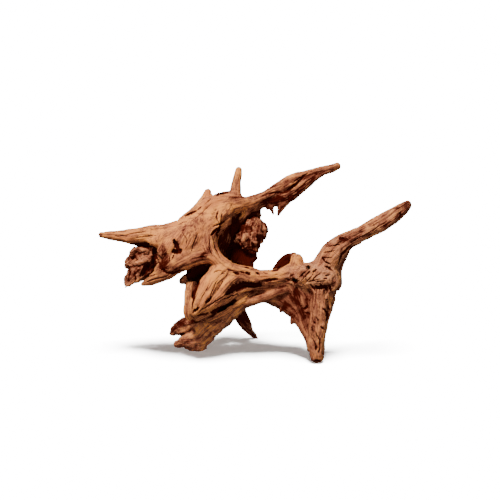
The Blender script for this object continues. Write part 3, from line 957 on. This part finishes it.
def weathering_tree():
    """Cuts the grain, cracks, worm holes and crags into the wood, and keeps what the finish needs of them."""
    nodes, given, out = wood_tree("weathering", **GRAIN_INPUTS)
    relief = fibre_relief_group()
    sides = []
    for name in FIBRES:
        inputs = {"Fibre": nodes.attribute(name, "FLOAT_VECTOR"), **{title: given[title] for title in GRAIN}}
        sides.append(nodes.outputs("GeometryNodeGroup", inputs, node_tree=relief))
    share = nodes.attribute("share")
    height, crease, worm = (nodes.mix(share, *(side[title] for side in sides)) for title in RELIEF_OUTPUTS)
    place = nodes.scale(nodes.get("GeometryNodeInputPosition"), 1 / MM)
    broken = place + nodes.scale(nodes.noise(place, 2.0, 0.16, "Color") - (0.5, 0.5, 0.5), 7.0)
    coarse_scale = 1.0 / given["Crag Size"]
    coarse, small = (
        nodes.get("ShaderNodeTexVoronoi", {"Vector": broken, "Scale": scale}, "Distance")
        for scale in (coarse_scale, coarse_scale * 2.6)
    )
    crag_at = nodes.attribute("crag")
    crag = (small * 0.4 + coarse - 0.6) * crag_at * given["Crag Depth"]
    lump = (nodes.noise(place, 2.0, 0.09) - 0.5) * given["Lump Depth"]
    eaten = worm * nodes.ramp(nodes.attribute("worm"), 0.2, 0.5)
    height = (
        height * ((1.0 - crag_at * 0.5) * nodes.attribute("furrow")) - nodes.attribute("scar")
        + crag + lump * 2.0 - eaten * given["Worm Depth"]
    )
    offset = nodes.scale(nodes.get("GeometryNodeInputNormal"), height * MM)
    moved = nodes.get("GeometryNodeSetPosition", {"Geometry": given["Geometry"], "Offset": offset})
    moved = nodes.keep(moved, "crease", nodes.sum("MAXIMUM", crease, eaten))
    return hand_out(nodes, given, out, nodes.keep(moved, "height", height))


def shelter_tree():
    """Keeps for each point how much of its view is filled by wood nearby."""
    nodes, given, out = wood_tree("shelter", Reach=("Float", SHELTER_REACH))
    normal = nodes.get("GeometryNodeInputNormal")
    start = nodes.get("GeometryNodeInputPosition") + nodes.scale(normal, SHELTER_LIFT * MM)
    reach = given["Reach"] * MM
    covered, whole = 0.0, 0.0
    for k in range(SHELTER_RAYS):
        z = 1 - (2 * k + 1) / SHELTER_RAYS
        turn = k * math.pi * (3 - math.sqrt(5))
        ray = (math.cos(turn) * math.sqrt(1 - z * z), math.sin(turn) * math.sqrt(1 - z * z), z)
        cosine = nodes.get("ShaderNodeVectorMath", {0: normal, 1: ray}, "Value", operation="DOT_PRODUCT")
        facing = nodes.sum("MAXIMUM", cosine, 0.0)
        cast = nodes.outputs("GeometryNodeRaycast", {
            "Target Geometry": given["Geometry"], "Source Position": start, "Ray Direction": ray,
            "Ray Length": reach,
        })
        covered = facing * (cast["Is Hit"] * (1.0 - cast["Hit Distance"] / reach) ** 0.5) + covered
        whole = whole + facing
    view = {"Value": covered / whole, "Iterations": 2}
    view = nodes.get("GeometryNodeBlurAttribute", view, data_type="FLOAT")
    return hand_out(nodes, given, out, nodes.keep(given["Geometry"], "shelter", view))


def island_tree():
    """Keeps only one island of a mesh, by its number."""
    nodes, given, out = wood_tree("island", Number=("Int", 0))
    island = nodes.get("GeometryNodeInputMeshIsland", None, "Island Index")
    inputs = {2: island, 3: given["Number"]}
    chosen = nodes.get("FunctionNodeCompare", inputs, data_type="INT", operation="EQUAL")
    inputs = {"Geometry": given["Geometry"], "Selection": chosen}
    return hand_out(nodes, given, out, nodes.get("GeometryNodeSeparateGeometry", inputs, domain="FACE"))


def weathered_grain_group():
    """Colour, roughness, gloss and fine height of weathered root wood, for the wood's material."""
    colours = {title: ("Color", (*colour, 1)) for title, colour in WOOD_COLOURS.items()}
    nodes, given, out = new_tree(
        "weathered grain", "ShaderNodeTree", {**colours, "Fibre Width": ("Float", 0.75)},
        {"Color": ("Color",), "Roughness": ("Float",), "Gloss": ("Float",), "Height": ("Float",)},
    )
    read = {
        name: nodes.outputs("ShaderNodeAttribute", attribute_name=name)
        for name in (*FIBRES, "share", "crease", "height", "shelter", "dark", *FINISH_NAMES)
    }
    value = {name: outputs["Fac"] for name, outputs in read.items()}
    place = nodes.scale(nodes.get("ShaderNodeTexCoord", None, "Object"), 1 / MM)

    def streaks(width, stretch, detail):
        sides = [nodes.streaks(read[name]["Vector"], width, stretch, detail) for name in FIBRES]
        return nodes.mix(value["share"], *sides)

    fine = streaks(given["Fibre Width"], 13.0, 3.0)
    fleck = nodes.ramp(streaks(1.5, 4.0, 1.0), 0.60, 0.68)
    rosy = nodes.ramp(nodes.noise(place, 1.0, 0.075), 0.42, 0.62)
    speck = nodes.noise(place, 3.0, 0.9)
    normal = nodes.get("ShaderNodeNewGeometry", None, "Normal")
    up = nodes.ramp(nodes.get("ShaderNodeSeparateXYZ", {0: normal}, 2), -0.8, 0.9)
    figure = (
        (nodes.noise(place, 2.0, 0.055) - 0.5) * 0.8 + (nodes.noise(place, 4.0, 0.2) - 0.5) * 0.9
        + (streaks(4.5, 9.0, 2.0) - 0.5) * 0.8 + (fine - 0.5) * 1.0 + (speck - 0.5) * 0.5
    )
    # How light the wood is: high and open is bleached, low and sheltered is stained.
    light = (
        value["bleach"] * 0.58 + 0.19 + up * 0.14
        + figure * nodes.ramp(value["furrow"], 0.2, 0.7, 0.55, 1.0) + value["height"] * 0.12
        - value["crease"] * 0.36 - fleck * 0.22 - nodes.ramp(value["shelter"], 0.16, 0.85) * 0.60
        - value["dusk"] * 0.30
    )
    light = nodes.sum("SUBTRACT", light, value["dark"] * 0.85, clamp=True)
    ripe = nodes.mix_colour(rosy, given["Sapwood"], given["Rosewood"])
    colour = nodes.mix_colour(nodes.ramp(light, 0.02, 0.22), given["Soot"], given["Stain"])
    colour = nodes.mix_colour(nodes.ramp(light, 0.16, 0.5), colour, given["Heartwood"])
    colour = nodes.mix_colour(nodes.ramp(light, 0.38, 0.86), colour, ripe)
    silver = value["grey"] * nodes.ramp(light, 0.2, 0.6)
    silver = silver * nodes.ramp(nodes.noise(place, 2.0, 0.12), 0.3, 0.6)
    chips = nodes.ramp(speck, 0.55, 0.66) * nodes.ramp(value["crag"], 0.2, 0.6)
    for share in (silver, chips * nodes.ramp(light, 0.15, 0.45)):
        colour = nodes.mix_colour(share * 0.6, colour, given["Silver"])
    nodes.feed(out["Color"], colour)
    nodes.feed(out["Roughness"], nodes.ramp(light, 0.0, 1.0, 0.72, 0.86))
    nodes.feed(out["Gloss"], nodes.ramp(light, 0.0, 0.3, 0.0, 0.14))
    nodes.feed(out["Height"], speck * 0.35 + fine)
    return nodes.tree


def wood_material():
    """Weathered root wood."""
    material = bpy.data.materials.new("driftwood")
    material.use_nodes = True
    nodes = Nodes(material.node_tree)
    shader = material.node_tree.nodes["Principled BSDF"].inputs
    grain = nodes.outputs("ShaderNodeGroup", node_tree=weathered_grain_group())
    bump = {"Height": grain["Height"], "Distance": 0.5 * MM, "Strength": 1.0}
    nodes.feed(shader["Base Color"], grain["Color"])
    nodes.feed(shader["Roughness"], grain["Roughness"])
    nodes.feed(shader["Specular IOR Level"], grain["Gloss"])
    nodes.feed(shader["Normal"], nodes.get("ShaderNodeBump", bump))
    return material


def holds(mesh, point):
    """Whether a point lies inside a closed mesh."""
    tree = BVHTree.FromPolygons([v.co for v in mesh.vertices], [p.vertices for p in mesh.polygons])
    direction = Vector((0.36, 0.48, 0.8))
    crossings = 0
    place = tree.ray_cast(point, direction)[0]
    while place:
        crossings += 1
        place = tree.ray_cast(place + direction * 0.01 * MM, direction)[0]
    return crossings % 2 == 1


def named_pieces(wood, material):
    """One object for each solid, cut from the sawn wood. Crumbs that the saws leave are dropped."""
    tree = island_tree()
    islands = []
    number = 0
    while True:
        part = bpy.data.objects.new("part", wood.data)
        bpy.context.scene.collection.objects.link(part)
        settle_tree(part, tree, Number=number, Wood=material)
        if not len(part.data.polygons):
            bpy.data.objects.remove(part)
            break
        islands.append(part)
        number += 1
    pieces = {}
    for name, point in PIECES.items():
        piece = next(part for part in islands if holds(part.data, seen(*point)))
        islands.remove(piece)
        piece.name = name + "_wood"
        pieces[name] = piece
    for crumb in islands:
        bpy.data.objects.remove(crumb)
    bpy.data.objects.remove(wood)
    return pieces


def settle_in_frame(pieces):
    """Moves the pieces from the drawing to the frame, and brings them just inside the solids' box."""
    for piece in pieces:
        piece.data.transform(Matrix.Scale(SIZE, 4) @ Matrix.Translation(-MIDDLE))
    corners = np.array([vertex.co for piece in pieces for vertex in piece.data.vertices])
    low, high = corners.min(axis=0), corners.max(axis=0)
    want_low, want_high = (np.array(corner) for corner in cad_box)
    slack = 0.02 * MM
    scale = (want_high - want_low - 2 * slack) / (high - low)
    shift = want_low + slack - low * scale
    shift[2] = 0.0
    fit = Matrix.Translation(shift) @ Matrix.Diagonal((*scale, 1))
    for piece in pieces:
        piece.data.transform(fit)


def add_camera():
    """The camera, where the drawing is seen from."""
    data = bpy.data.cameras.new("camera")
    data.lens = data.sensor_width / VIEW_WIDTH * VIEW_DISTANCE
    camera = bpy.data.objects.new("camera", data)
    bpy.context.scene.collection.objects.link(camera)
    eye = seen_direction(FRONT)
    camera.location = in_frame(seen(0, VIEW_HEIGHT, 0) + eye * VIEW_DISTANCE * MM)
    camera.rotation_euler = (-eye).to_track_quat("-Z", "Y").to_euler()
    bpy.context.scene.camera = camera


def add_light(name, kind, place, target, power, colour, lit, **size):
    """A lamp aimed at target that lights only the objects of one collection."""
    data = bpy.data.lights.new(name, kind)
    data.energy = power
    data.color = colour
    for key, value in size.items():
        setattr(data, key, value)
    light = bpy.data.objects.new(name, data)
    bpy.context.scene.collection.objects.link(light)
    light.location = place
    light.rotation_euler = (Vector(target) - Vector(place)).to_track_quat("-Z", "Y").to_euler()
    light.light_linking.receiver_collection = lit


def group_of(name, objects):
    """A collection of some objects, which stay where they are in the scene."""
    group = bpy.data.collections.new(name)
    for made in objects:
        group.objects.link(made)
    return group


def add_studio(pieces):
    """A white floor that runs out of sight, a key light high on the left, and weak light from all round."""
    mesh = bmesh.new()
    bmesh.ops.create_grid(mesh, x_segments=1, y_segments=1, size=30)
    floor = object_from(mesh, "studio_floor")
    paper = bpy.data.materials.new("white_paper")
    paper.use_nodes = True
    shader = paper.node_tree.nodes["Principled BSDF"]
    shader.inputs["Base Color"].default_value = (0.9, 0.9, 0.9, 1)
    shader.inputs["Roughness"].default_value = 0.9
    floor.data.materials.append(paper)
    floor.visible_diffuse = False
    floor.visible_glossy = False
    wood = group_of("lit_wood", pieces)
    ground = group_of("lit_floor", [floor])
    add_light("key", "AREA", (-0.40, -0.40, 1.05), (0, 0, 0.05), 25, (1.0, 0.86, 0.70), wood, size=0.25)
    add_light("fill", "AREA", (0.5, -1.0, 0.45), (0, 0, 0.06), 2.5, (1.0, 0.88, 0.76), wood, size=0.8)
    add_light("bounce", "AREA", (-0.1, -0.7, 0.03), (0, 0, 0.04), 2.2, (1.0, 0.78, 0.62), wood, size=0.3)
    add_light("back", "AREA", (-0.2, 0.9, 0.8), (0, 0, 0.06), 7, (1.0, 0.86, 0.72), wood, size=0.6)
    wide = math.radians(21)
    add_light("floor_light", "SUN", (0.04, 0.10, 1.0), (0, 0, 0), 60, (1, 1, 1), ground, angle=wide)
    add_light("floor_glow", "SUN", (0, 0, 1.0), (0, 0, 0), 1.05, (1.0, 0.88, 0.82), ground, use_shadow=False)
    world = bpy.data.worlds.new("studio")
    world.use_nodes = True
    nodes = Nodes(world.node_tree)
    backdrop = world.node_tree.nodes["Background"]
    seen_by_camera = nodes.get("ShaderNodeLightPath", None, "Is Camera Ray")
    nodes.feed(backdrop.inputs["Color"], nodes.mix_colour(seen_by_camera, (1.0, 0.90, 0.82, 1), (1, 1, 1, 1)))
    nodes.feed(backdrop.inputs["Strength"], nodes.mix(seen_by_camera, 0.22, 18.0))
    bpy.context.scene.world = world


wood = grown_wood()
mark_fibres(wood)
material = wood_material()
settle_tree(wood, weathering_tree(), Wood=material, **GRAIN)
settle_tree(wood, shelter_tree(), Wood=material, Reach=SHELTER_REACH)
carve(wood, [ground_cutter()])
carve(wood, [saw_cutter(name, *line) for name, line in SAWS.items()])
pieces = named_pieces(wood, material)
settle_in_frame(pieces.values())
for name, piece in pieces.items():
    piece.data.shade_smooth()
    piece.data.set_sharp_from_angle(angle=SHARP_ANGLE)
    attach(piece, "root")
    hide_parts(name)
add_camera()
add_studio(pieces.values())
